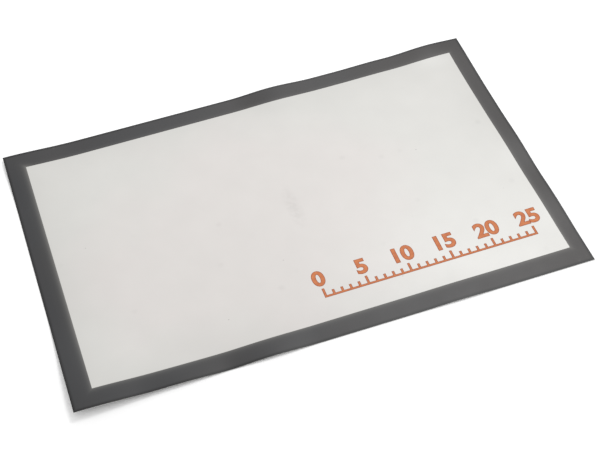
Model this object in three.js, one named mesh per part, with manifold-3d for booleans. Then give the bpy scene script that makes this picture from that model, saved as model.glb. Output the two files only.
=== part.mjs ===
// Silicone baking mat cut for an oven tray: a woven glass cloth coated with silicone on both faces,
// a dark border band printed round the upper face and a centimetre scale printed near one corner.
// Millimetres, +Z up. The origin is on the table under the middle of the mat, the front edge faces -Y.
import * as THREE from 'three';
import { mergeVertices } from 'three/addons/utils/BufferGeometryUtils.js';
import Module from 'manifold-3d';

const wasm = await Module();
wasm.setup();

// Cut sheet
const MAT_LENGTH = 585;
const MAT_WIDTH = 385;

// Thickness of each layer, from the table upwards
const LOWER_COAT_THICKNESS = 0.25;
const CLOTH_THICKNESS = 0.2;
const UPPER_COAT_THICKNESS = 0.25;
const INK_THICKNESS = 0.1;

// Width of the border band at the middle of each side: the print sits a little off centre on the cut sheet
const BORDER_LEFT = 24;
const BORDER_RIGHT = 18.5;
const BORDER_REAR = 23;
const BORDER_FRONT = 24;

// Turn of the whole print on the cut sheet, in degrees anticlockwise seen from above
const PRINT_TURN = 0.2;

// Printed centimetre scale, placed from the inner edges of the border band
const SCALE_STEPS = 25;
const TICK_PITCH = 10;
const TICK_WIDTH = 3;
const TICK_LENGTH = 5.5;
const LONG_TICK_LENGTH = 10;
const LONG_TICK_EVERY = 5;
const BASE_LINE_WIDTH = 3;
const SCALE_TO_RIGHT_BAND = 25;
const SCALE_TO_FRONT_BAND = 30;

// Lie of the sheet on the table: corners that curl up, by the height of the tip and the reach from it
const REAR_LEFT_CURL_HEIGHT = 3.5;
const REAR_LEFT_CURL_REACH = 90;
const REAR_RIGHT_CURL_HEIGHT = 2.3;
const REAR_RIGHT_CURL_REACH = 100;
const FRONT_LEFT_CURL_HEIGHT = 8.3;
const FRONT_LEFT_CURL_REACH = 140;

// Ripples along the edges, by the height of the crest and its place from the middle of the edge
const REAR_MIDDLE_RIPPLE_HEIGHT = 2.8;
const REAR_MIDDLE_RIPPLE_AT = 43;
const REAR_LOW_RIPPLE_HEIGHT = 1.1;
const REAR_LOW_RIPPLE_AT = 179;
const REAR_RIGHT_RIPPLE_HEIGHT = 2.8;
const REAR_RIGHT_RIPPLE_AT = 244;
const FRONT_RIGHT_RIPPLE_HEIGHT = 1;
const FRONT_RIGHT_RIPPLE_AT = 134;
const FRONT_MIDDLE_RIPPLE_HEIGHT = 2.1;
const FRONT_MIDDLE_RIPPLE_AT = -78;
const FRONT_LEFT_RIPPLE_HEIGHT = 2.4;
const FRONT_LEFT_RIPPLE_AT = -173;
const RIGHT_MIDDLE_RIPPLE_HEIGHT = 1.4;
const RIGHT_MIDDLE_RIPPLE_AT = 5;
const RIGHT_FRONT_RIPPLE_HEIGHT = 1.2;
const RIGHT_FRONT_RIPPLE_AT = -97;

// Size of every ripple: half its length along the edge and its reach in from the edge
const RIPPLE_HALF_LENGTH = 55;
const RIPPLE_REACH = 45;

// Facets across the field inside the border band
const FIELD_CELLS_X = 24;
const FIELD_CELLS_Y = 15;

// How far the print's cutting prism stands past the ink layer
const CUT_MARGIN = 1;

const left = -MAT_LENGTH / 2;
const right = MAT_LENGTH / 2;
const front = -MAT_WIDTH / 2;
const rear = MAT_WIDTH / 2;
const fieldLeft = left + BORDER_LEFT;
const fieldRight = right - BORDER_RIGHT;
const fieldFront = front + BORDER_FRONT;
const fieldRear = rear - BORDER_REAR;
const printTurn = THREE.MathUtils.degToRad(PRINT_TURN);

const clothBottom = LOWER_COAT_THICKNESS;
const clothTop = clothBottom + CLOTH_THICKNESS;
const coatTop = clothTop + UPPER_COAT_THICKNESS;
const inkTop = coatTop + INK_THICKNESS;

// Smooth hump: 1 at the middle, level there, and 0 from a distance of 1 on
function hump(distance) {
  return (1 + Math.cos(Math.PI * Math.min(Math.abs(distance), 1))) / 2;
}

// One lift of the sheet, highest at (x, y) and level with the table at its reach in X and in Y
function lift(x, y, height, reachX, reachY) {
  return (atX, atY) => height * hump((atX - x) / reachX) * hump((atY - y) / reachY);
}

const curl = (x, y, height, reach) => lift(x, y, height, reach, reach);
const longEdgeRipple = (x, y, height) => lift(x, y, height, RIPPLE_HALF_LENGTH, RIPPLE_REACH);
const shortEdgeRipple = (x, y, height) => lift(x, y, height, RIPPLE_REACH, RIPPLE_HALF_LENGTH);

const lifts = [
  curl(left, rear, REAR_LEFT_CURL_HEIGHT, REAR_LEFT_CURL_REACH),
  curl(right, rear, REAR_RIGHT_CURL_HEIGHT, REAR_RIGHT_CURL_REACH),
  curl(left, front, FRONT_LEFT_CURL_HEIGHT, FRONT_LEFT_CURL_REACH),
  longEdgeRipple(REAR_MIDDLE_RIPPLE_AT, rear, REAR_MIDDLE_RIPPLE_HEIGHT),
  longEdgeRipple(REAR_LOW_RIPPLE_AT, rear, REAR_LOW_RIPPLE_HEIGHT),
  longEdgeRipple(REAR_RIGHT_RIPPLE_AT, rear, REAR_RIGHT_RIPPLE_HEIGHT),
  longEdgeRipple(FRONT_RIGHT_RIPPLE_AT, front, FRONT_RIGHT_RIPPLE_HEIGHT),
  longEdgeRipple(FRONT_MIDDLE_RIPPLE_AT, front, FRONT_MIDDLE_RIPPLE_HEIGHT),
  longEdgeRipple(FRONT_LEFT_RIPPLE_AT, front, FRONT_LEFT_RIPPLE_HEIGHT),
  shortEdgeRipple(right, RIGHT_MIDDLE_RIPPLE_AT, RIGHT_MIDDLE_RIPPLE_HEIGHT),
  shortEdgeRipple(right, RIGHT_FRONT_RIPPLE_AT, RIGHT_FRONT_RIPPLE_HEIGHT),
];

// Height of the sheet's underside above the table
function lie(x, y) {
  return lifts.reduce((sum, height) => sum + height(x, y), 0);
}

// Grid lines across the sheet: both cut edges, both inner edges of the band and even steps between
function gridLines(edgeLow, fieldLow, fieldHigh, edgeHigh, cells) {
  const lines = [edgeLow];
  for (let n = 0; n <= cells; n++) {
    lines.push(fieldLow + ((fieldHigh - fieldLow) * n) / cells);
  }
  lines.push(edgeHigh);
  return lines;
}

const columns = gridLines(left, fieldLeft, fieldRight, right, FIELD_CELLS_X);
const rows = gridLines(front, fieldFront, fieldRear, rear, FIELD_CELLS_Y);
const lastColumn = columns.length - 2;
const lastRow = rows.length - 2;

// Place of a grid corner seen from above: it turns with the print, but never leaves a cut edge
function gridPlace(i, j) {
  const place = new THREE.Vector2(columns[i], rows[j]).rotateAround(new THREE.Vector2(), printTurn);
  if (i === 0 || i > lastColumn) place.x = columns[i];
  if (j === 0 || j > lastRow) place.y = rows[j];
  return place;
}

const everyCell = () => true;
const bandCell = (i, j) => i === 0 || j === 0 || i === lastColumn || j === lastRow;

// Closed layer between two heights above the sheet's underside, over the cells that are kept.
// All layers share the same grid and the same diagonals, so neighbours meet face to face.
function layerGeometry(low, high, keep) {
  const points = [];
  const corner = (i, j, z) => {
    const { x, y } = gridPlace(i, j);
    return [x, y, lie(x, y) + z];
  };
  const quad = (a, b, c, d) => points.push(...a, ...b, ...c, ...a, ...c, ...d);
  const wall = (a, b) => quad(corner(...a, low), corner(...b, low), corner(...b, high), corner(...a, high));
  const kept = (i, j) => i >= 0 && j >= 0 && i <= lastColumn && j <= lastRow && keep(i, j);
  for (let i = 0; i <= lastColumn; i++) {
    for (let j = 0; j <= lastRow; j++) {
      if (!kept(i, j)) continue;
      const near = [i, j];
      const aside = [i + 1, j];
      const far = [i + 1, j + 1];
      const behind = [i, j + 1];
      quad(corner(...near, high), corner(...aside, high), corner(...far, high), corner(...behind, high));
      quad(corner(...near, low), corner(...behind, low), corner(...far, low), corner(...aside, low));
      if (!kept(i, j - 1)) wall(near, aside);
      if (!kept(i + 1, j)) wall(aside, far);
      if (!kept(i, j + 1)) wall(far, behind);
      if (!kept(i - 1, j)) wall(behind, near);
    }
  }
  const geometry = new THREE.BufferGeometry();
  geometry.setAttribute('position', new THREE.Float32BufferAttribute(points, 3));
  return mergeVertices(geometry);
}

// Outline of the scale: a base line with ticks standing on it, the longer ones every few steps
function scaleOutline() {
  const half = TICK_WIDTH / 2;
  const shape = new THREE.Shape();
  shape.moveTo(-half, 0);
  shape.lineTo(SCALE_STEPS * TICK_PITCH + half, 0);
  for (let n = SCALE_STEPS; n >= 0; n--) {
    const x = n * TICK_PITCH;
    const top = BASE_LINE_WIDTH + (n % LONG_TICK_EVERY === 0 ? LONG_TICK_LENGTH : TICK_LENGTH);
    if (n < SCALE_STEPS) shape.lineTo(x + half, BASE_LINE_WIDTH);
    shape.lineTo(x + half, top);
    shape.lineTo(x - half, top);
    if (n > 0) shape.lineTo(x - half, BASE_LINE_WIDTH);
  }
  shape.closePath();
  return shape;
}

function solidOf(geometry) {
  const plain = geometry.clone();
  plain.deleteAttribute('normal');
  plain.deleteAttribute('uv');
  const merged = mergeVertices(plain);
  const vertProperties = new Float32Array(merged.attributes.position.array);
  const triVerts = new Uint32Array(merged.index.array);
  return new wasm.Manifold(new wasm.Mesh({ numProp: 3, vertProperties, triVerts }));
}

function geometryOf(solid) {
  const mesh = solid.getMesh();
  const geometry = new THREE.BufferGeometry();
  geometry.setAttribute('position', new THREE.Float32BufferAttribute(mesh.vertProperties, 3));
  geometry.setIndex(Array.from(mesh.triVerts));
  return geometry;
}

// Printed scale: the part of a whole ink layer that stands inside the upright prism of its outline
function scaleGeometry() {
  const inkLayer = layerGeometry(coatTop, inkTop, everyCell);
  inkLayer.computeBoundingBox();
  const prism = new THREE.ExtrudeGeometry(scaleOutline(), {
    depth: inkLayer.boundingBox.max.z + CUT_MARGIN,
    bevelEnabled: false,
  });
  const start = fieldRight - SCALE_TO_RIGHT_BAND - SCALE_STEPS * TICK_PITCH;
  prism.translate(start, fieldFront + SCALE_TO_FRONT_BAND, 0);
  prism.rotateZ(printTurn);
  return geometryOf(solidOf(inkLayer).intersect(solidOf(prism)));
}

const silicone = new THREE.MeshStandardMaterial({ color: 0xe1deda, roughness: 0.55, metalness: 0 });
const glass = new THREE.MeshStandardMaterial({ color: 0xe6e4dc, roughness: 0.7, metalness: 0 });
const greyInk = new THREE.MeshStandardMaterial({ color: 0x5a5a5b, roughness: 0.5, metalness: 0 });
const orangeInk = new THREE.MeshStandardMaterial({ color: 0xd67446, roughness: 0.5, metalness: 0 });

const mat = new THREE.Group();

function addPiece(name, geometry, material) {
  geometry.computeVertexNormals();
  const mesh = new THREE.Mesh(geometry, material);
  mesh.name = name;
  mat.add(mesh);
}

addPiece('lower_silicone_coat', layerGeometry(0, clothBottom, everyCell), silicone);
addPiece('glass_fibre_cloth', layerGeometry(clothBottom, clothTop, everyCell), glass);
addPiece('upper_silicone_coat', layerGeometry(clothTop, coatTop, everyCell), silicone);
addPiece('border_band', layerGeometry(coatTop, inkTop, bandCell), greyInk);
addPiece('printed_scale', scaleGeometry(), orangeInk);

export default mat;
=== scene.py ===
# %% [markdown]
# # A silicone baking mat
# The real mat is one thin laminated sheet: a woven glass cloth, a coat of pale silicone on each face,
# a band of dark grey ink round the edge and a scale printed in orange. The solid model already holds
# these layers with coarse facets. This lesson loads it as a fixed frame, in metres, and makes a fine
# sheet of every layer in the same place.

# %% Load the solid model
import math
from collections import Counter

import bmesh
import bpy
import numpy as np
from mathutils import Matrix, Vector


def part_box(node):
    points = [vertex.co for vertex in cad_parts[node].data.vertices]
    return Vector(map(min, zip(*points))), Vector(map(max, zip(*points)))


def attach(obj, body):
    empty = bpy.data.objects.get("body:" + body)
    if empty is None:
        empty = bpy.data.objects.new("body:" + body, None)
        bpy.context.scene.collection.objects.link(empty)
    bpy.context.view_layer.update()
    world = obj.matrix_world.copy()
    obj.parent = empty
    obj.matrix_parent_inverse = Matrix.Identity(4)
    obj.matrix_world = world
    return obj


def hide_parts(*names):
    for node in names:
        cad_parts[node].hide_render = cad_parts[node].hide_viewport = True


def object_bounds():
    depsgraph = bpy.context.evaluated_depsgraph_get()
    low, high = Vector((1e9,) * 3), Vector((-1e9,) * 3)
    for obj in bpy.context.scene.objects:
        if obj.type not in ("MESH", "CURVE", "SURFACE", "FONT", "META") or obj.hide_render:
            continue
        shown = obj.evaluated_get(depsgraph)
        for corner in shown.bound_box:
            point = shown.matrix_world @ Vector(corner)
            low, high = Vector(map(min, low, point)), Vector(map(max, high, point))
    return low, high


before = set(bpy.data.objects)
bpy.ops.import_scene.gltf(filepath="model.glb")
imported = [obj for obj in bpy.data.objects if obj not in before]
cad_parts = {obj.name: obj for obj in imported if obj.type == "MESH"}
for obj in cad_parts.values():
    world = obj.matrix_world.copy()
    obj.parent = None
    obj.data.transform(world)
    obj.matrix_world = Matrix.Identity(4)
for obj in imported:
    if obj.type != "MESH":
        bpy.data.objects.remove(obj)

MM = 0.001
scene = bpy.context.scene
cad_box = [list(corner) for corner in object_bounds()]
print("solid model, low and high corner in m:", cad_box)

# %% [markdown]
# ## The camera
# The photograph looks down on the front long edge, a little from the left, with a long lens and a
# slight tilt of the frame. The place of the camera comes from the edges of the mat in the picture. It
# is set first, so that every later piece can be judged in the right view.

# %% Set the camera
camera_data = bpy.data.cameras.new("photo_camera")
camera_data.sensor_width = 36.0
camera_data.lens = 82.62
camera = bpy.data.objects.new("photo_camera", camera_data)
scene.collection.objects.link(camera)
camera_eye = Vector((-0.27932, -1.00482, 1.18423))
camera_aim = Vector((0.00611, -0.02990, 0.0))
camera_roll = math.radians(-3.45)
camera_look = (camera_aim - camera_eye).to_track_quat("-Z", "Y").to_matrix().to_4x4()
camera.matrix_world = Matrix.Translation(camera_eye) @ camera_look @ Matrix.Rotation(camera_roll, 4, "Z")
scene.camera = camera
print("camera distance in m:", round((camera_aim - camera_eye).length, 3))

# %% [markdown]
# ## Sizes of the sheet
# The outline comes from the box of the solid model, and the heights of the layers from the boxes of its
# nodes: the lowest point of a layer is where the sheet lies flat. The sheet is cut after it has been
# printed, so the band sits a little off centre and askew: each side has its own width, and the whole
# print is turned by a fraction of a degree. These values are the ones of the solid model.

# %% Name the sizes
LEFT, FRONT = cad_box[0][:2]
RIGHT, REAR = cad_box[1][:2]

CLOTH_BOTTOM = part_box("glass_fibre_cloth")[0].z
CLOTH_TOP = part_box("upper_silicone_coat")[0].z
COAT_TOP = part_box("border_band")[0].z
INK = 0.1 * MM
INK_TOP = COAT_TOP + INK

BAND_LEFT = 24 * MM
BAND_RIGHT = 18.5 * MM
BAND_FRONT = 24 * MM
BAND_REAR = 23 * MM
FIELD_LEFT = LEFT + BAND_LEFT
FIELD_RIGHT = RIGHT - BAND_RIGHT
FIELD_FRONT = FRONT + BAND_FRONT
FIELD_REAR = REAR - BAND_REAR
PRINT_TURN = math.radians(0.2)
layer_heights = (CLOTH_BOTTOM, CLOTH_TOP, COAT_TOP, INK_TOP)
print("heights of the layers in mm:", [round(z / MM, 2) for z in layer_heights])
print("field inside the band in mm:", round((FIELD_RIGHT - FIELD_LEFT) / MM, 1), "by",
      round((FIELD_REAR - FIELD_FRONT) / MM, 1))

# %% [markdown]
# ## Helpers for node trees
# A node tree can be wired by hand in the editor, but one that is written down can be read and made again.
# Four short functions do the wiring: one adds a node, one a step of arithmetic, one splits a place into
# its axes and one gives a tree a named input. Names of nodes and sockets belong to a version of Blender.

# %% Write the node helpers
def add_node(tree, kind, **settings):
    node = tree.nodes.new(kind)
    for key, value in settings.items():
        setattr(node, key, value)
    return node


def math_node(tree, operation, first, second=None):
    node = add_node(tree, "ShaderNodeMath", operation=operation)
    for socket, value in zip(node.inputs, (first, second)):
        if isinstance(value, bpy.types.NodeSocket):
            tree.links.new(value, socket)
        elif value is not None:
            socket.default_value = value
    return node.outputs[0]


def axes_of(tree, vector):
    node = add_node(tree, "ShaderNodeSeparateXYZ")
    tree.links.new(vector, node.inputs[0])
    return node.outputs


def add_input(tree, name, kind):
    return tree.interface.new_socket(name, in_out="INPUT", socket_type=kind).identifier


print("node trees for Blender", bpy.app.version_string)

# %% [markdown]
# ## The lie of the sheet
# A mat that has been rolled up never lies quite flat: corners curl and the edges ripple. Sculpting
# would give each layer its own shape and the layers would cut into each other. Here the lie is one
# rule instead: a smooth hump, 1 at its crest and 0 at its reach, used once for each curl or ripple.
# A small node group holds the rule, and a second tree adds all the humps up and lifts whatever mesh
# it is put on, so every layer and every print follows the same surface.

# %% Build the hump as a node group
hump_tree = bpy.data.node_groups.new("Hump", "GeometryNodeTree")
for hump_input in ("Height", "Crest X", "Crest Y", "Reach X", "Reach Y"):
    add_input(hump_tree, hump_input, "NodeSocketFloat")
hump_tree.interface.new_socket("Lift", in_out="OUTPUT", socket_type="NodeSocketFloat")
hump_in = add_node(hump_tree, "NodeGroupInput")
hump_out = add_node(hump_tree, "NodeGroupOutput")
hump_place = axes_of(hump_tree, add_node(hump_tree, "GeometryNodeInputPosition").outputs[0])
hump_lift = hump_in.outputs["Height"]
for axis in "XY":
    distance = math_node(hump_tree, "SUBTRACT", hump_place[axis], hump_in.outputs["Crest " + axis])
    share = math_node(hump_tree, "DIVIDE", distance, hump_in.outputs["Reach " + axis])
    share = math_node(hump_tree, "MINIMUM", math_node(hump_tree, "ABSOLUTE", share), 1.0)
    wave = math_node(hump_tree, "COSINE", math_node(hump_tree, "MULTIPLY", share, math.pi))
    half_wave = math_node(hump_tree, "MULTIPLY", math_node(hump_tree, "ADD", wave, 1.0), 0.5)
    hump_lift = math_node(hump_tree, "MULTIPLY", hump_lift, half_wave)
hump_tree.links.new(hump_lift, hump_out.inputs["Lift"])
print("hump rule:", len(hump_tree.nodes), "nodes")

# %% [markdown]
# The curls sit on three corners, the ripples on three edges. Their places and heights are the ones of
# the solid model, which were read off the outline of the mat in the photograph.

# %% List the curls and ripples
RIPPLE_HALF_LENGTH = 55 * MM
RIPPLE_REACH = 45 * MM


def curl(x, y, height, reach):
    return {"Height": height, "Crest X": x, "Crest Y": y, "Reach X": reach, "Reach Y": reach}


def long_edge_ripple(x, y, height):
    return {"Height": height, "Crest X": x, "Crest Y": y,
            "Reach X": RIPPLE_HALF_LENGTH, "Reach Y": RIPPLE_REACH}


def short_edge_ripple(x, y, height):
    return {"Height": height, "Crest X": x, "Crest Y": y,
            "Reach X": RIPPLE_REACH, "Reach Y": RIPPLE_HALF_LENGTH}


lifts = [
    curl(LEFT, REAR, height=3.5 * MM, reach=90 * MM),
    curl(RIGHT, REAR, height=2.3 * MM, reach=100 * MM),
    curl(LEFT, FRONT, height=8.3 * MM, reach=140 * MM),
    long_edge_ripple(43 * MM, REAR, height=2.8 * MM),
    long_edge_ripple(179 * MM, REAR, height=1.1 * MM),
    long_edge_ripple(244 * MM, REAR, height=2.8 * MM),
    long_edge_ripple(134 * MM, FRONT, height=1.0 * MM),
    long_edge_ripple(-78 * MM, FRONT, height=2.1 * MM),
    long_edge_ripple(-173 * MM, FRONT, height=2.4 * MM),
    short_edge_ripple(RIGHT, 5 * MM, height=1.4 * MM),
    short_edge_ripple(RIGHT, -97 * MM, height=1.2 * MM),
]
print("lie of the sheet:", len(lifts), "curls and ripples")

# %% [markdown]
# A Lattice could bend one sheet, but it would have to be repeated for every layer. In this tree each curl
# or ripple is one use of the group above, and their sum moves every point straight up. The tree takes the
# flat geometry and its finish as inputs.

# %% Add up the humps in one tree
lie_tree = bpy.data.node_groups.new("Lie of the sheet", "GeometryNodeTree")
add_input(lie_tree, "Geometry", "NodeSocketGeometry")
lie_material_input = add_input(lie_tree, "Material", "NodeSocketMaterial")
lie_tree.interface.new_socket("Geometry", in_out="OUTPUT", socket_type="NodeSocketGeometry")
lie_in = add_node(lie_tree, "NodeGroupInput")
lie_out = add_node(lie_tree, "NodeGroupOutput")
total_lift = None
for lift in lifts:
    hump = add_node(lie_tree, "GeometryNodeGroup", node_tree=hump_tree)
    for hump_input, value in lift.items():
        hump.inputs[hump_input].default_value = value
    lifted = hump.outputs["Lift"]
    total_lift = lifted if total_lift is None else math_node(lie_tree, "ADD", total_lift, lifted)
upward = add_node(lie_tree, "ShaderNodeCombineXYZ")
raise_points = add_node(lie_tree, "GeometryNodeSetPosition")
lie_real = add_node(lie_tree, "GeometryNodeRealizeInstances")
lie_coat = add_node(lie_tree, "GeometryNodeSetMaterial")
lie_tree.links.new(total_lift, upward.inputs["Z"])
lie_tree.links.new(lie_in.outputs["Geometry"], raise_points.inputs["Geometry"])
lie_tree.links.new(upward.outputs[0], raise_points.inputs["Offset"])
lie_tree.links.new(raise_points.outputs[0], lie_real.inputs[0])
lie_tree.links.new(lie_real.outputs[0], lie_coat.inputs["Geometry"])
lie_tree.links.new(lie_in.outputs["Material"], lie_coat.inputs["Material"])
lie_tree.links.new(lie_coat.outputs[0], lie_out.inputs["Geometry"])
print("lie tree:", len(lie_tree.nodes), "nodes")

# %% [markdown]
# A modifier is only a recipe. The finished piece must be a plain mesh, so the tree is evaluated once,
# the result is kept and the modifier goes. The tree's material is set through the socket's identifier
# before that first evaluation. Edges sharper than a given angle stay crisp, the rest is shaded smooth.

# %% Lay a flat blank on the table
CRISP_EDGE = math.radians(40)


def keep_evaluated(piece):
    depsgraph = bpy.context.evaluated_depsgraph_get()
    mesh = bpy.data.meshes.new_from_object(
        piece.evaluated_get(depsgraph), preserve_all_data_layers=True, depsgraph=depsgraph)
    mesh.name = piece.name
    piece.modifiers.clear()
    piece.data = mesh


def lay_on_table(piece, material, crisp=CRISP_EDGE):
    modifier = piece.modifiers.new("lie", "NODES")
    modifier.node_group = lie_tree
    modifier[lie_material_input] = material
    keep_evaluated(piece)
    piece.data.shade_smooth()
    piece.data.set_sharp_from_angle(angle=crisp)
    heights = [v.co.z / MM for v in piece.data.vertices]
    print(piece.name, "laid,", len(piece.data.polygons), "faces, z in mm from",
          round(min(heights), 2), "to", round(max(heights), 2))


print("edges stay crisp above", round(math.degrees(CRISP_EDGE)), "degrees")

# %% [markdown]
# ## Helpers for the finishes
# Each finish is a Principled shader with its colour, roughness and bump fed by small patterns in
# Object coordinates. One function starts a finish, one mixes two colours by a share, and one reads a
# value that the mesh carries on its points.

# %% Start a finish
def new_finish(name):
    material = bpy.data.materials.new(name)
    material.use_nodes = True
    tree = material.node_tree
    shader = tree.nodes["Principled BSDF"]
    place = add_node(tree, "ShaderNodeTexCoord").outputs["Object"]
    return material, tree, shader, place


def mix_colour(tree, share, first, second):
    node = add_node(tree, "ShaderNodeMix", data_type="RGBA")
    tree.links.new(share, node.inputs["Factor"])
    ends = [socket for socket in node.inputs if socket.type == "RGBA"]
    for socket, value in zip(ends, (first, second)):
        if isinstance(value, bpy.types.NodeSocket):
            tree.links.new(value, socket)
        else:
            socket.default_value = (*value, 1.0)
    return next(socket for socket in node.outputs if socket.type == "RGBA")


def attribute(tree, name):
    return add_node(tree, "ShaderNodeAttribute", attribute_name=name).outputs["Fac"]


print("materials that came with the solid model:", len(bpy.data.materials))

# %% [markdown]
# A pattern gives values that have to be spread over the wanted range. Clouds are noise spread between two
# values, a fade is 1 at first and then falls to 0. Noise keeps close to its middle, so only that part of
# its range is spread.

# %% Spread a pattern
NOISE_RANGE = (0.3, 0.7)


def spread(tree, value, low, high, to_low=0.0, to_high=1.0):
    node = add_node(tree, "ShaderNodeMapRange")
    for key, number in (("From Min", low), ("From Max", high), ("To Min", to_low), ("To Max", to_high)):
        node.inputs[key].default_value = number
    tree.links.new(value, node.inputs["Value"])
    return node.outputs["Result"]


def fade(tree, value, full, gone):
    return spread(tree, value, full, gone, 1.0, 0.0)


def clouds(tree, place, per_metre, low, high, detail=2.0, noise_range=NOISE_RANGE):
    node = add_node(tree, "ShaderNodeTexNoise")
    node.inputs["Scale"].default_value = per_metre
    node.inputs["Detail"].default_value = detail
    tree.links.new(place, node.inputs["Vector"])
    return spread(tree, node.outputs["Fac"], *noise_range, low, high)


print("part of the noise that is spread:", NOISE_RANGE)

# %% [markdown]
# What all layers share is the cloth, a plain weave: each yarn goes over one and under the next. Two sine
# waves give the rounded yarns, and the sign of their product says which yarn rises and which one dives at
# a crossing. The higher of the two is what shows, which leaves no step between them, and silicone fills
# the holes. The yarns are under a millimetre apart and press through the thin coats, so the same relief is
# used softly on every finish.

# %% Write the relief of the weave
YARN_PITCH = 0.9 * MM
YARN_DIVE = 0.4
FILLED_UP_TO = 0.5
RELIEF_DEPTH = 0.02 * MM


def woven_relief(tree, place):
    axes = axes_of(tree, place)
    phases = [math_node(tree, "MULTIPLY", axes[axis], math.pi / YARN_PITCH) for axis in "XY"]
    waves = [math_node(tree, "SINE", phase) for phase in phases]
    over_or_under = math_node(tree, "SIGN", math_node(tree, "MULTIPLY", *waves))
    dive = math_node(tree, "MULTIPLY", over_or_under, YARN_DIVE)
    over_warp, over_weft = [math_node(tree, "ABSOLUTE", wave) for wave in waves]
    warp = math_node(tree, "ADD", over_warp, math_node(tree, "MULTIPLY", dive, over_weft))
    weft = math_node(tree, "SUBTRACT", over_weft, math_node(tree, "MULTIPLY", dive, over_warp))
    return spread(tree, math_node(tree, "MAXIMUM", warp, weft), FILLED_UP_TO, 1.0 + YARN_DIVE)


def bump(tree, shader, height, strength, depth=RELIEF_DEPTH):
    node = add_node(tree, "ShaderNodeBump")
    node.inputs["Strength"].default_value = strength
    node.inputs["Distance"].default_value = depth
    tree.links.new(height, node.inputs["Height"])
    tree.links.new(node.outputs["Normal"], shader.inputs["Normal"])


print("yarns in a centimetre:", round(10 * MM / YARN_PITCH, 1))

# %% [markdown]
# ## Marks of use
# The middle of the field, where the dough lies, has taken on a warmer tint with a cloudy border, and one
# long scuff lies across it. Both are ovals: a Mapping node centres and stretches the coordinates, and
# their length is then 0 in the middle and 1 on the rim. Round stains and specks come from a cell pattern:
# only the cells whose middle lies close to the surface make a spot, so spots are few and of many sizes.

# %% Draw the marks of use
WARM_MIDDLE = (-45 * MM, -15 * MM)
WARM_HALF_AXES = (215 * MM, 175 * MM)
WARM_UP_TO = 0.65
WARM_GONE = 1.1
SCUFF_MIDDLE = (8 * MM, -2 * MM)
SCUFF_HALF_AXES = (11 * MM, 40 * MM)
SCUFF_CORE = 0.3
SPOT_CORE = 0.3


def oval_reach(tree, place, middle, half_axes):
    local = add_node(tree, "ShaderNodeMapping", vector_type="TEXTURE")
    local.inputs["Location"].default_value = (*middle, 0.0)
    local.inputs["Scale"].default_value = (*half_axes, 1.0)
    tree.links.new(place, local.inputs["Vector"])
    reach = add_node(tree, "ShaderNodeVectorMath", operation="LENGTH")
    tree.links.new(local.outputs[0], reach.inputs[0])
    return reach.outputs["Value"]


def warm_middle(tree, place):
    reach = oval_reach(tree, place, WARM_MIDDLE, WARM_HALF_AXES)
    border = clouds(tree, place, per_metre=7, low=-0.25, high=0.25)
    return fade(tree, math_node(tree, "ADD", reach, border), WARM_UP_TO, WARM_GONE)


def scuff(tree, place):
    reach = oval_reach(tree, place, SCUFF_MIDDLE, SCUFF_HALF_AXES)
    uneven = clouds(tree, place, per_metre=160, low=0.0, high=1.0, detail=4, noise_range=(0.3, 0.6))
    return math_node(tree, "MULTIPLY", fade(tree, reach, SCUFF_CORE, 1.0), uneven)


def spots(tree, place, spacing, radius):
    cells = add_node(tree, "ShaderNodeTexVoronoi")
    cells.inputs["Scale"].default_value = 1 / spacing
    tree.links.new(place, cells.inputs["Vector"])
    return fade(tree, cells.outputs["Distance"], SPOT_CORE * radius / spacing, radius / spacing)


for mark, half_axes in (("warm middle", WARM_HALF_AXES), ("scuff", SCUFF_HALF_AXES)):
    print(mark, "across and along in mm:", [round(2 * half_axis / MM) for half_axis in half_axes])

# %% [markdown]
# ## Silicone of the two coats
# The coats are pale, and clouds of thicker and thinner silicone change their depth. Through thin silicone
# the yarns are just visible as a fine grid. Towards the band a painted shade makes the field a little
# darker.
# Where the mesh says that the grey band lies on the coat, it shows through: clearly at the
# cut edge, softly from below. Each mark takes its own share of the light.

# %% Make the silicone finishes
SILICONE_IOR = 1.43
PAINTED_BAND_SHADE = 0.08
SCUFF_SHADE = 0.075
STAIN_SHADE = 0.05
SPECK_SHADE = 0.30


def darkened(tree, depth, mark, shade):
    return math_node(tree, "MULTIPLY", depth, spread(tree, mark, 0.0, 1.0, 1.0, 1.0 - shade))


def silicone_finish(name, cool, warm, under_band, relief):
    material, tree, shader, place = new_finish(name)
    weave = woven_relief(tree, place)
    depth = clouds(tree, place, per_metre=24, low=0.985, high=1.015, detail=4)
    depth = math_node(tree, "MULTIPLY", depth, spread(tree, weave, 0.0, 1.0, 0.98, 1.02))
    # painted shade: the field darker towards the band, as the attribute on the mesh says
    depth = darkened(tree, depth, attribute(tree, "painted_shade"), PAINTED_BAND_SHADE)
    depth = darkened(tree, depth, scuff(tree, place), SCUFF_SHADE)
    depth = darkened(tree, depth, spots(tree, place, spacing=45 * MM, radius=5 * MM), STAIN_SHADE)
    depth = darkened(tree, depth, spots(tree, place, spacing=30 * MM, radius=1 * MM), SPECK_SHADE)
    shaded = add_node(tree, "ShaderNodeVectorMath", operation="SCALE")
    tree.links.new(mix_colour(tree, warm_middle(tree, place), cool, warm), shaded.inputs[0])
    tree.links.new(depth, shaded.inputs["Scale"])
    colour = mix_colour(tree, attribute(tree, "band"), shaded.outputs[0], under_band)
    tree.links.new(colour, shader.inputs["Base Color"])
    gloss = clouds(tree, place, per_metre=60, low=0.28, high=0.3)
    tree.links.new(gloss, shader.inputs["Roughness"])
    shader.inputs["IOR"].default_value = SILICONE_IOR
    bump(tree, shader, weave, relief)
    return material


field_finish = silicone_finish("field_silicone", cool=(0.685, 0.677, 0.650), warm=(0.701, 0.673, 0.651),
                               under_band=(0.18, 0.18, 0.18), relief=0.14)
under_finish = silicone_finish("under_silicone", cool=(0.640, 0.632, 0.603), warm=(0.653, 0.629, 0.605),
                               under_band=(0.337, 0.337, 0.331), relief=0.30)
print("silicone finishes:", field_finish.name, under_finish.name)
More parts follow.
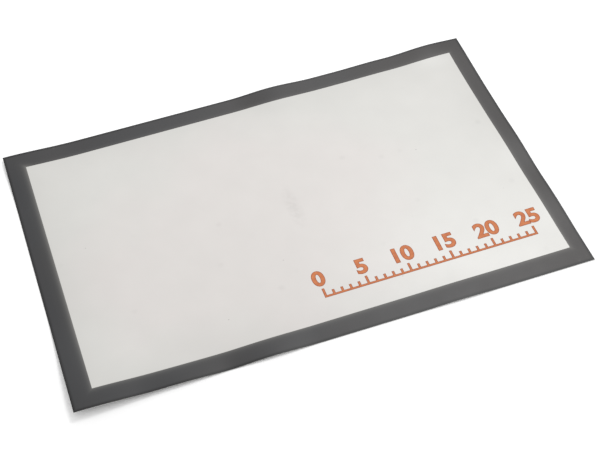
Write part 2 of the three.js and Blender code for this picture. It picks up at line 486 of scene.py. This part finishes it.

# %% [markdown]
# ## Glass cloth
# The core is bare glass yarn, only seen as a thin pale line at the cut edge. It is whiter and drier
# than silicone, and the weave is at full strength. Where the yarns dive, a painted shade makes them
# darker.

# %% Make the cloth finish
YARN_HOLLOW_PAINTED_SHADE = (0.40, 0.39, 0.36)
YARN_CROWN = (0.69, 0.67, 0.63)


def woven_glass_finish(name):
    material, tree, shader, place = new_finish(name)
    crossing = woven_relief(tree, place)
    # painted shade: yarns darker where they dive, lighter on their crowns
    tree.links.new(mix_colour(tree, crossing, YARN_HOLLOW_PAINTED_SHADE, YARN_CROWN), shader.inputs["Base Color"])
    tree.links.new(spread(tree, crossing, 0.0, 1.0, 0.7, 0.45), shader.inputs["Roughness"])
    bump(tree, shader, crossing, strength=0.8, depth=0.05 * MM)
    return material


cloth_finish = woven_glass_finish("glass_weave")
print("cloth finish:", cloth_finish.name)

# %% [markdown]
# ## Grey ink
# The grey ink is dark and satin, a little bluer towards the left end and browner towards the right.
# Towards the field it is thin and lets the pale coat through, and along the cut it is darkest: the mesh
# carries both as attributes. A few pale rubs lie on it.

# %% Make the grey ink finish
GREY_LEFT = (0.0290, 0.0294, 0.0318)
GREY_RIGHT = (0.0340, 0.0305, 0.0295)
GREY_MARGIN = (0.213, 0.208, 0.195)
GREY_CUT = (0.0034, 0.0034, 0.0039)
GREY_RUBBED = (0.09, 0.09, 0.089)
GREY_INK_IOR = 1.46
RUB_STRENGTH = 0.3


def grey_ink_finish(name):
    material, tree, shader, place = new_finish(name)
    to_right = spread(tree, axes_of(tree, place)["X"], LEFT, RIGHT)
    uneven = clouds(tree, place, per_metre=9, low=-0.25, high=0.25, detail=3, noise_range=(0.35, 0.65))
    colour = mix_colour(tree, math_node(tree, "ADD", to_right, uneven), GREY_LEFT, GREY_RIGHT)
    colour = mix_colour(tree, attribute(tree, "margin"), colour, GREY_MARGIN)
    colour = mix_colour(tree, attribute(tree, "cut"), colour, GREY_CUT)
    rubs = spread(tree, spots(tree, place, spacing=32 * MM, radius=2 * MM), 0.0, 1.0, 0.0, RUB_STRENGTH)
    tree.links.new(mix_colour(tree, rubs, colour, GREY_RUBBED), shader.inputs["Base Color"])
    gloss = clouds(tree, place, per_metre=50, low=0.4, high=0.42, detail=3)
    tree.links.new(gloss, shader.inputs["Roughness"])
    shader.inputs["IOR"].default_value = GREY_INK_IOR
    bump(tree, shader, woven_relief(tree, place), strength=0.3)
    return material


grey_finish = grey_ink_finish("grey_band_ink")
print("grey ink:", grey_finish.name)

# %% [markdown]
# ## Orange ink
# The orange ink is drier than the grey one and uneven within each stroke. Along the edge of a stroke a
# painted shade makes it darker; how near a point is to that edge, the mesh again carries as an attribute.

# %% Make the orange ink finish
ORANGE_DEEP = (0.517, 0.140, 0.043)
ORANGE_LIGHT = (0.629, 0.208, 0.074)
ORANGE_EDGE_PAINTED_SHADE = (0.303, 0.063, 0.017)
ORANGE_INK_IOR = 1.385
RIM_FULL = 0.6


def orange_ink_finish(name):
    material, tree, shader, place = new_finish(name)
    tone = clouds(tree, place, per_metre=250, low=0.0, high=1.0)
    colour = mix_colour(tree, tone, ORANGE_DEEP, ORANGE_LIGHT)
    rim = spread(tree, attribute(tree, "rim"), 0.0, RIM_FULL)
    # painted shade along the edge of each stroke
    tree.links.new(mix_colour(tree, rim, colour, ORANGE_EDGE_PAINTED_SHADE), shader.inputs["Base Color"])
    tree.links.new(spread(tree, tone, 0.0, 1.0, 0.5, 0.6), shader.inputs["Roughness"])
    shader.inputs["IOR"].default_value = ORANGE_INK_IOR
    bump(tree, shader, woven_relief(tree, place), strength=0.2)
    return material


orange_finish = orange_ink_finish("orange_scale_ink")
print("orange ink:", orange_finish.name)

# %% [markdown]
# ## One grid for all layers
# Each layer is a closed slab on a grid a few millimetres wide, fine enough for the ripples to look
# round. Separate meshes with their own grids would cut into each other wherever the sheet bends,
# because the layers are thinner than a millimetre. So all layers use the same grid lines, closer
# together along the cut and on the band's inner edge, where the ink changes.

# %% Set out the grid lines
CELL = 5 * MM
FROM_CUT = [0.0, 1 * MM, 2 * MM, 3 * MM, 4 * MM]
FROM_FIELD = [8 * MM, 6 * MM, 4.5 * MM, 3 * MM, 2 * MM, 1 * MM, 0.5 * MM, 0.2 * MM, 0.0]


def lines_between(start, end):
    count = max(1, round(abs(end - start) / CELL))
    return [float(line) for line in np.linspace(start, end, count + 1)[1:-1]]


def lines_across_band(cut, field):
    inward = math.copysign(1.0, field - cut)
    along_cut = [cut + inward * d for d in FROM_CUT]
    along_field = [field - inward * d for d in FROM_FIELD]
    return along_cut + lines_between(along_cut[-1], along_field[0]) + along_field


def grid_lines(cut_low, field_low, field_high, cut_high):
    high_side = lines_across_band(cut_high, field_high)
    return lines_across_band(cut_low, field_low) + lines_between(field_low, field_high) + high_side[::-1]


columns = grid_lines(LEFT, FIELD_LEFT, FIELD_RIGHT, RIGHT)
rows = grid_lines(FRONT, FIELD_FRONT, FIELD_REAR, REAR)
print("grid:", len(columns), "by", len(rows), "lines")

# %% [markdown]
# A subdivided plane with Solidify would do for a whole sheet, but not for the band, which is a ring of
# cells. So each layer first says which cells of the grid it keeps: the distance into the field tells the
# band's cells from the others.

# %% Choose the cells of a layer
def into_field(x, y):
    return min(x - FIELD_LEFT, FIELD_RIGHT - x, y - FIELD_FRONT, FIELD_REAR - y)


def whole_sheet(x, y):
    return True


def band_only(x, y):
    return into_field(x, y) < 0


def cells_of(keep):
    middles = [[(a + b) / 2 for a, b in zip(lines, lines[1:])] for lines in (columns, rows)]
    return [(i, j) for i, x in enumerate(middles[0]) for j, y in enumerate(middles[1]) if keep(x, y)]


print("cells of a whole sheet:", len(cells_of(whole_sheet)), "and of the band:", len(cells_of(band_only)))

# %% [markdown]
# The blank is then written out cell by cell: an upper face, a lower face, and a wall wherever a cell has
# no neighbour. Corners that cells share are made once, so the slab is closed.

# %% Cut a flat blank from the grid
def flat_blank(name, keep, bottom, top):
    cells = cells_of(keep)
    kept = set(cells)
    corners = {}
    faces = []

    def corner(i, j, upper):
        return corners.setdefault((i, j, upper), len(corners))

    for i, j in cells:
        loop = [(i, j), (i + 1, j), (i + 1, j + 1), (i, j + 1)]
        faces.append([corner(*c, True) for c in loop])
        faces.append([corner(*c, False) for c in reversed(loop)])
        neighbours = [(i, j - 1), (i + 1, j), (i, j + 1), (i - 1, j)]
        for a, b, neighbour in zip(loop, loop[1:] + loop[:1], neighbours):
            if neighbour not in kept:
                faces.append([corner(*a, False), corner(*b, False), corner(*b, True), corner(*a, True)])
    points = []
    for i, j, upper in corners:
        x, y = columns[i], rows[j]
        points.append((x, y, top(x, y) if upper else bottom))
    mesh = bpy.data.meshes.new(name)
    mesh.from_pydata(points, [], faces)
    piece = bpy.data.objects.new(name, mesh)
    scene.collection.objects.link(piece)
    print(name, "cut:", len(cells), "cells,", len(faces), "faces")
    return piece


# %% [markdown]
# The blank is drawn square. What its finish needs to know, such as the distance from the cut, is written
# on its points. Then it turns with the print: the field as a whole, the band less and less towards the
# cut, the cut edges not at all.

# %% Mark a blank and turn it with the print
def set_attribute(piece, name, rule):
    layer = piece.data.attributes.new(name, "FLOAT", "POINT")
    layer.data.foreach_set("value", [float(rule(v.co.x, v.co.y)) for v in piece.data.vertices])


def share_of_turn(place, cut_low, field_low, field_high, cut_high):
    from_low = (place - cut_low) / (field_low - cut_low)
    from_high = (cut_high - place) / (cut_high - field_high)
    return min(1.0, from_low, from_high)


def turn_with_print(piece):
    turn = Matrix.Rotation(PRINT_TURN, 2)
    for vertex in piece.data.vertices:
        flat = vertex.co.xy
        step = turn @ flat - flat
        vertex.co.x += step.x * share_of_turn(flat.x, LEFT, FIELD_LEFT, FIELD_RIGHT, RIGHT)
        vertex.co.y += step.y * share_of_turn(flat.y, FRONT, FIELD_FRONT, FIELD_REAR, REAR)


corner_step = PRINT_TURN * math.hypot(FIELD_RIGHT, FIELD_REAR)
print("step of the field's rear right corner in mm:", round(corner_step / MM, 2))

# %% [markdown]
# ## The coats and the cloth
# Three whole sheets lie on each other. On the upper coat the grey only shows right under the band, on
# the lower coat it spreads, because the light has come through the whole laminate. A painted shade dies
# away from the band inwards and is left off the front right corner, which stays brighter.

# %% Make the coats and the cloth
PAINTED_SHADE_REACH = 35 * MM
UNSHADED_HALF_AXES = (200 * MM, 260 * MM)
UNSHADED_CORE = 0.4


def smooth_step(value, low, high):
    share = min(1.0, max(0.0, (value - low) / (high - low)))
    return share * share * (3 - 2 * share)


# painted shade: 1 at the band, dying away inwards, and left off the front right corner
def handled_share(x, y):
    near_band = math.exp(-max(0.0, into_field(x, y)) / PAINTED_SHADE_REACH)
    across = (FIELD_RIGHT - x) / UNSHADED_HALF_AXES[0]
    along = (y - FIELD_FRONT) / UNSHADED_HALF_AXES[1]
    return near_band * smooth_step(math.hypot(across, along), UNSHADED_CORE, 1.0)


def make_layer(name, bottom, top, finish, grey_blur=None):
    layer = flat_blank(name, whole_sheet, bottom, lambda x, y: top)
    if grey_blur:
        set_attribute(layer, "painted_shade", handled_share)
        set_attribute(layer, "band", lambda x, y: 1 - smooth_step(into_field(x, y), -grey_blur, 0.0))
    turn_with_print(layer)
    lay_on_table(layer, finish)
    return layer


lower_coat = make_layer("lower_coat", 0.0, CLOTH_BOTTOM, under_finish, grey_blur=4 * MM)
glass_cloth = make_layer("glass_cloth", CLOTH_BOTTOM, CLOTH_TOP, cloth_finish)
upper_coat = make_layer("upper_coat", CLOTH_TOP, COAT_TOP, field_finish, grey_blur=0.5 * MM)

# %% [markdown]
# ## The border band
# The band is a film of ink, cut off square with the sheet and thinning out over half a millimetre at
# its inner edge. The print has faded into the field on the left, except near the front. On the other
# sides it has faded less, and least at the rear.

# %% Print the border band
THIN_EDGE = 0.5 * MM
THINNEST = 0.2
MARGIN_FADE = 2.4 * MM
MARGIN_FRONT = 0.5
MARGIN_REAR = 0.2
PALE_LEFT_OF = FIELD_LEFT - 8 * MM
FAINT_RIGHT_OF = FIELD_LEFT + 12 * MM
PALE_BEHIND = FIELD_FRONT + 90 * MM
CUT_DARK = 1 * MM
CUT_CLEAR = 4 * MM


def ink_height(x, y):
    return COAT_TOP + INK * (THINNEST + (1 - THINNEST) * smooth_step(-into_field(x, y), 0.0, THIN_EDGE))


def margin_share(x, y):
    to_rear = smooth_step(y, FIELD_FRONT, FIELD_REAR)
    faint = MARGIN_FRONT + (MARGIN_REAR - MARGIN_FRONT) * to_rear
    pale = (1 - smooth_step(x, PALE_LEFT_OF, FAINT_RIGHT_OF)) * smooth_step(y, FIELD_FRONT, PALE_BEHIND)
    return (faint + (1 - faint) * pale) * math.exp(into_field(x, y) / MARGIN_FADE)


def cut_share(x, y):
    from_cut = min(x - LEFT, RIGHT - x, y - FRONT, REAR - y)
    return 1 - smooth_step(from_cut, CUT_DARK, CUT_CLEAR)


border_band = flat_blank("border_ink", band_only, COAT_TOP, ink_height)
set_attribute(border_band, "margin", margin_share)
set_attribute(border_band, "cut", cut_share)
turn_with_print(border_band)
lay_on_table(border_band, grey_finish)

# %% [markdown]
# ## The printed scale
# Ticks a centimetre apart repeat, so they are points on a line with a small bar on each: a short bar
# on most, a longer one on every fifth. A long bar under them is the base line. All sizes are inputs of
# one node tree, so that another scale is only another set of values.

# %% Name the inputs of the scale
FEATHER = 0.9 * MM
scale_inputs = {
    "Steps": ("NodeSocketInt", 25),
    "Pitch": ("NodeSocketFloat", 10 * MM),
    "Tick Width": ("NodeSocketFloat", 3 * MM),
    "Tick Length": ("NodeSocketFloat", 5.5 * MM),
    "Long Tick Length": ("NodeSocketFloat", 10 * MM),
    "Long Every": ("NodeSocketInt", 5),
    "Line Width": ("NodeSocketFloat", 3 * MM),
    "Ink": ("NodeSocketFloat", INK),
    "Feather": ("NodeSocketFloat", FEATHER),
}
scale_tree = bpy.data.node_groups.new("Centimetre scale", "GeometryNodeTree")
scale_ids = {name: add_input(scale_tree, name, kind) for name, (kind, value) in scale_inputs.items()}
scale_start_id = add_input(scale_tree, "Start", "NodeSocketVector")
scale_material_id = add_input(scale_tree, "Material", "NodeSocketMaterial")
scale_tree.interface.new_socket("Geometry", in_out="OUTPUT", socket_type="NodeSocketGeometry")
scale_in = add_node(scale_tree, "NodeGroupInput").outputs
scale_out = add_node(scale_tree, "NodeGroupOutput").inputs
print("scale inputs:", ", ".join(scale_inputs))

# %% [markdown]
# Ink runs out thin at its edge, so a bar is a block whose upper face is drawn in all round: the sign of
# each upper corner's place says which way is inward.

# %% Make one bar of ink
def scale_vector(x, y, z):
    vector = add_node(scale_tree, "ShaderNodeCombineXYZ")
    for socket, value in zip(vector.inputs, (x, y, z)):
        if isinstance(value, bpy.types.NodeSocket):
            scale_tree.links.new(value, socket)
        else:
            socket.default_value = value
    return vector.outputs[0]


def shifted(geometry, shift):
    move = add_node(scale_tree, "GeometryNodeTransform")
    scale_tree.links.new(geometry, move.inputs["Geometry"])
    scale_tree.links.new(shift, move.inputs["Translation"])
    return move.outputs[0]


def half(value):
    return math_node(scale_tree, "MULTIPLY", value, 0.5)


def drawn_in(place):
    inward = math_node(scale_tree, "SIGN", math_node(scale_tree, "MULTIPLY", place, -1.0))
    return math_node(scale_tree, "MULTIPLY", inward, scale_in["Feather"])


def ink_bar(width, length):
    block = add_node(scale_tree, "GeometryNodeMeshCube")
    scale_tree.links.new(scale_vector(width, length, scale_in["Ink"]), block.inputs["Size"])
    corner = axes_of(scale_tree, add_node(scale_tree, "GeometryNodeInputPosition").outputs[0])
    is_upper = math_node(scale_tree, "GREATER_THAN", corner["Z"], 0.0)
    inward = scale_vector(drawn_in(corner["X"]), drawn_in(corner["Y"]), 0.0)
    draw_in = add_node(scale_tree, "GeometryNodeSetPosition")
    scale_tree.links.new(block.outputs["Mesh"], draw_in.inputs["Geometry"])
    scale_tree.links.new(is_upper, draw_in.inputs["Selection"])
    scale_tree.links.new(inward, draw_in.inputs["Offset"])
    return draw_in.outputs[0]


print("upper face of a bar drawn in by", round(FEATHER / MM, 2), "mm")

# %% [markdown]
# A tick starts in the middle of the base line, so that the two share ink and leave no slit between
# them. The index of a point, divided by five, tells the long ticks from the short ones.

# %% Set the ticks out on a line
tick_points = add_node(scale_tree, "GeometryNodeMeshLine")
scale_tree.links.new(math_node(scale_tree, "ADD", scale_in["Steps"], 1.0), tick_points.inputs["Count"])
scale_tree.links.new(scale_vector(scale_in["Pitch"], 0.0, 0.0), tick_points.inputs["Offset"])
index = add_node(scale_tree, "GeometryNodeInputIndex").outputs[0]
left_over = math_node(scale_tree, "MODULO", index, scale_in["Long Every"])
is_long = math_node(scale_tree, "LESS_THAN", left_over, 0.5)
is_short = math_node(scale_tree, "SUBTRACT", 1.0, is_long)

line_middle = half(scale_in["Line Width"])
ink_middle = half(scale_in["Ink"])
scale_bars = []
for length_name, chosen in (("Tick Length", is_short), ("Long Tick Length", is_long)):
    length = math_node(scale_tree, "ADD", scale_in[length_name], line_middle)
    tick_middle = math_node(scale_tree, "ADD", half(length), line_middle)
    tick = shifted(ink_bar(scale_in["Tick Width"], length), scale_vector(0.0, tick_middle, ink_middle))
    on_points = add_node(scale_tree, "GeometryNodeInstanceOnPoints")
    scale_tree.links.new(tick_points.outputs["Mesh"], on_points.inputs["Points"])
    scale_tree.links.new(chosen, on_points.inputs["Selection"])
    scale_tree.links.new(tick, on_points.inputs["Instance"])
    scale_bars.append(on_points.outputs["Instances"])
print("kinds of tick:", len(scale_bars))

# %% [markdown]
# A union makes one film of ink of all the bars, without faces left inside. Then the scale goes to its
# place on the field and gets its finish.

# %% Add the base line and join the bars
run = math_node(scale_tree, "MULTIPLY", scale_in["Steps"], scale_in["Pitch"])
line = ink_bar(math_node(scale_tree, "ADD", run, scale_in["Tick Width"]), scale_in["Line Width"])
scale_bars.append(shifted(line, scale_vector(half(run), line_middle, ink_middle)))
union = add_node(scale_tree, "GeometryNodeMeshBoolean", operation="UNION", solver="EXACT")
for bars in scale_bars:
    real_bars = add_node(scale_tree, "GeometryNodeRealizeInstances")
    scale_tree.links.new(bars, real_bars.inputs[0])
    scale_tree.links.new(real_bars.outputs[0], union.inputs["Mesh 2"])
scale_real = add_node(scale_tree, "GeometryNodeRealizeInstances")
scale_coat = add_node(scale_tree, "GeometryNodeSetMaterial")
scale_tree.links.new(shifted(union.outputs["Mesh"], scale_in["Start"]), scale_real.inputs[0])
scale_tree.links.new(scale_real.outputs[0], scale_coat.inputs["Geometry"])
scale_tree.links.new(scale_in["Material"], scale_coat.inputs["Material"])
scale_tree.links.new(scale_coat.outputs[0], scale_out["Geometry"])
print("scale tree:", len(scale_tree.nodes), "nodes")

# %% [markdown]
# The scale stands at the front right of the field. An empty mesh carries the tree, which draws everything
# itself, and the sizes are handed over by the identifiers of the tree's sockets.

# %% Print the scale
SCALE_FROM_RIGHT = 25 * MM
SCALE_FROM_FRONT = 30 * MM
scale_size = {name: value for name, (kind, value) in scale_inputs.items()}
SCALE_X = FIELD_RIGHT - SCALE_FROM_RIGHT - scale_size["Steps"] * scale_size["Pitch"]
SCALE_Y = FIELD_FRONT + SCALE_FROM_FRONT

printed_scale = bpy.data.objects.new("scale_ink", bpy.data.meshes.new("scale_ink"))
scene.collection.objects.link(printed_scale)
modifier = printed_scale.modifiers.new("scale", "NODES")
modifier.node_group = scale_tree
for name, value in scale_size.items():
    modifier[scale_ids[name]] = value
modifier[scale_start_id] = (SCALE_X, SCALE_Y, COAT_TOP)
modifier[scale_material_id] = orange_finish
keep_evaluated(printed_scale)
print("scale ink:", len(printed_scale.data.polygons), "faces, box in mm",
      [round(side / MM, 1) for side in printed_scale.dimensions])

# %% [markdown]
# ## The numbers of the scale
# Blender's own font gives plain figures. A figure is written as a text curve, filled on one side and kept
# as a flat mesh. The offset of the curve makes it bolder or leaner.

# %% Draw the outline of a figure
NUMBER_HEIGHT = 22 * MM
NUMBER_GAP = 3.5 * MM
FONT_HEIGHT = 0.79
FONT_BOLDNESS = 0.045
FONT_STEPS = 10
FIGURE_SCALE = NUMBER_HEIGHT / FONT_HEIGHT


def figure_outline(text, boldness):
    curve = bpy.data.curves.new("number_" + text, "FONT")
    curve.body = text
    curve.align_x = "CENTER"
    curve.offset = boldness
    curve.resolution_u = FONT_STEPS
    curve.fill_mode = "FRONT"
    drawn = bpy.data.objects.new(curve.name, curve)
    scene.collection.objects.link(drawn)
    depsgraph = bpy.context.evaluated_depsgraph_get()
    mesh = bpy.data.meshes.new_from_object(drawn.evaluated_get(depsgraph))
    bpy.data.objects.remove(drawn)
    return mesh


print("height of a figure in mm:", round(NUMBER_HEIGHT / MM, 1))

# %% [markdown]
# Extruding the figure would give it upright walls. Ink runs out thin instead, so a figure is drawn twice
# with different boldness: the bolder outline is the foot of the ink, the leaner one its upper face, and a
# sloping wall joins the two. Both have the same points in the same order, because only the offset differs.

# %% Give a figure its ink
def add_level(work, mesh, middle, spot):
    return [work.verts.new(spot + (v.co - middle) * FIGURE_SCALE) for v in mesh.vertices]


def add_figure(work, text, spot):
    foot = figure_outline(text, FONT_BOLDNESS)
    face = figure_outline(text, FONT_BOLDNESS - FEATHER / FIGURE_SCALE)
    xs = [v.co.x for v in foot.vertices]
    middle = Vector(((max(xs) + min(xs)) / 2, min(v.co.y for v in foot.vertices), 0.0))
    low = add_level(work, foot, middle, spot)
    high = add_level(work, face, middle, spot + Vector((0.0, 0.0, INK)))
    uses = Counter(edge for polygon in foot.polygons for edge in polygon.edge_keys)
    for polygon in foot.polygons:
        ring = list(polygon.vertices)
        work.faces.new([low[i] for i in reversed(ring)])
        for a, b in zip(ring, ring[1:] + ring[:1]):
            if uses[min(a, b), max(a, b)] == 1:
                work.faces.new([low[a], low[b], high[b], high[a]])
    for polygon in face.polygons:
        work.faces.new([high[i] for i in polygon.vertices])
    print("figure", text, "drawn with", len(low) + len(high), "points")
    for mesh in (foot, face):
        bpy.data.meshes.remove(mesh)


# %% [markdown]
# A number stands over each long tick. All of them are one print, so they become one piece.

# %% Print the numbers
top_of_ticks = SCALE_Y + scale_size["Line Width"] + scale_size["Long Tick Length"]
figures = bmesh.new()
for step in range(0, scale_size["Steps"] + 1, scale_size["Long Every"]):
    tick_x = SCALE_X + step * scale_size["Pitch"]
    add_figure(figures, str(step), Vector((tick_x, top_of_ticks + NUMBER_GAP, COAT_TOP)))
scale_numbers = bpy.data.objects.new("scale_numbers", bpy.data.meshes.new("scale_numbers"))
figures.to_mesh(scale_numbers.data)
figures.free()
scene.collection.objects.link(scale_numbers)
print("numbers:", len(scale_numbers.data.polygons), "faces")

# %% [markdown]
# Both prints are cut along the lines of the sheet's grid, so that they bend exactly where the coat under
# them bends. A cut that passes very close to a corner leaves a sliver, so edges of almost no length are
# dissolved afterwards. The height of a point says how near it is to the edge of its stroke, which the
# ink's finish reads. Then the prints turn with the band and are laid like every other layer.

# %% Lay the prints on the sheet
PRINT_CRISP_EDGE = math.radians(4)
ON_LINE = 0.01 * MM
SLIVER = 0.02 * MM


def cut_along_grid(piece):
    work = bmesh.new()
    work.from_mesh(piece.data)
    for lines, across in ((columns, Vector((1, 0, 0))), (rows, Vector((0, 1, 0)))):
        for line in lines:
            everything = work.verts[:] + work.edges[:] + work.faces[:]
            bmesh.ops.bisect_plane(work, geom=everything, dist=ON_LINE,
                                   plane_co=line * across, plane_no=across)
    bmesh.ops.dissolve_degenerate(work, edges=work.edges[:], dist=SLIVER)
    work.to_mesh(piece.data)
    work.free()


for ink_print in (printed_scale, scale_numbers):
    cut_along_grid(ink_print)
    rim = ink_print.data.attributes.new("rim", "FLOAT", "POINT")
    rim.data.foreach_set("value", [(INK_TOP - v.co.z) / INK for v in ink_print.data.vertices])
    turn_with_print(ink_print)
    lay_on_table(ink_print, orange_finish, PRINT_CRISP_EDGE)

# %% [markdown]
# ## Join the pieces to the frame
# Every layer stands for its solid, which stays for collision. The mat has no joints, so
# everything rides on the one body.

stands_for = {
    lower_coat: ("lower_silicone_coat", "silicone_under"),
    glass_cloth: ("glass_fibre_cloth", "glass_cloth"),
    upper_coat: ("upper_silicone_coat", "silicone_field"),
    border_band: ("border_band", "grey_ink"),
    printed_scale: ("printed_scale", "orange_ink"),
    scale_numbers: (None, "orange_ink"),
}
for piece, (node, slot) in stands_for.items():
    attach(piece, "root")
    if node:
        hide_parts(node)
print("pieces on the frame:", [piece.name for piece in stands_for])

# %% [markdown]
# ## Floor
# The photograph has a plain white ground. The floor is a shade whiter to the camera than to the mat, so
# that the ground is white without more light on the mat, and still takes its shadow.

# %% Lay the floor
FLOOR_HALF = 15.0
FLOOR_GAP = 0.05 * MM
FLOOR_TO_MAT = (0.90, 0.90, 0.90)
FLOOR_TO_CAMERA = (1.10, 1.10, 1.10)
floor_mesh = bpy.data.meshes.new("floor")
floor_mesh.from_pydata([(-FLOOR_HALF, -FLOOR_HALF, 0), (FLOOR_HALF, -FLOOR_HALF, 0),
                        (FLOOR_HALF, FLOOR_HALF, 0), (-FLOOR_HALF, FLOOR_HALF, 0)], [], [(0, 1, 2, 3)])
floor = bpy.data.objects.new("floor", floor_mesh)
floor.location.z = -FLOOR_GAP
scene.collection.objects.link(floor)
floor_finish = bpy.data.materials.new("white_floor")
floor_finish.use_nodes = True
floor_tree = floor_finish.node_tree
floor_shader = floor_tree.nodes["Principled BSDF"]
light_path = add_node(floor_tree, "ShaderNodeLightPath").outputs
seen = light_path["Is Camera Ray"]
for mirrored in ("Is Glossy Ray", "Is Transmission Ray"):
    seen = math_node(floor_tree, "MAXIMUM", seen, light_path[mirrored])
floor_colour = mix_colour(floor_tree, seen, FLOOR_TO_MAT, FLOOR_TO_CAMERA)
floor_tree.links.new(floor_colour, floor_shader.inputs["Base Color"])
floor_shader.inputs["Roughness"].default_value = 1.0
floor_shader.inputs["Specular IOR Level"].default_value = 0.0
floor_mesh.materials.append(floor_finish)
print("floor:", 2 * FLOOR_HALF, "m wide")

# %% [markdown]
# ## Light
# The photograph has very soft light, a little stronger from the right, where the satin ink picks up a
# veil of brightness. An even sky keeps the level plain, so that a colour renders about as it is written,
# and two soft lamps behind the mat, one close on the right and one far behind, make the slow change from
# left to right.

# %% Set the light
SKY_STRENGTH = 0.797
sky = bpy.data.worlds.new("even_sky")
sky.use_nodes = True
sky_shader = sky.node_tree.nodes["Background"]
sky_shader.inputs["Color"].default_value = (1.0, 1.0, 1.0, 1.0)
sky_shader.inputs["Strength"].default_value = SKY_STRENGTH
scene.world = sky


def soft_lamp(name, place, size, watts):
    lamp_data = bpy.data.lights.new(name, "AREA")
    lamp_data.shape = "SQUARE"
    lamp_data.size = size
    lamp_data.energy = watts
    lamp = bpy.data.objects.new(name, lamp_data)
    look = (-place).to_track_quat("-Z", "Y").to_matrix().to_4x4()
    lamp.matrix_world = Matrix.Translation(place) @ look
    scene.collection.objects.link(lamp)


soft_lamp("right_lamp", Vector((0.73, 0.79, 1.66)), size=0.6, watts=9.6)
soft_lamp("rear_lamp", Vector((1.01, 4.00, 1.55)), size=0.8, watts=34.5)
scene.view_settings.view_transform = "Standard"
print("sky strength:", SKY_STRENGTH, "lamps:", len(bpy.data.lights))
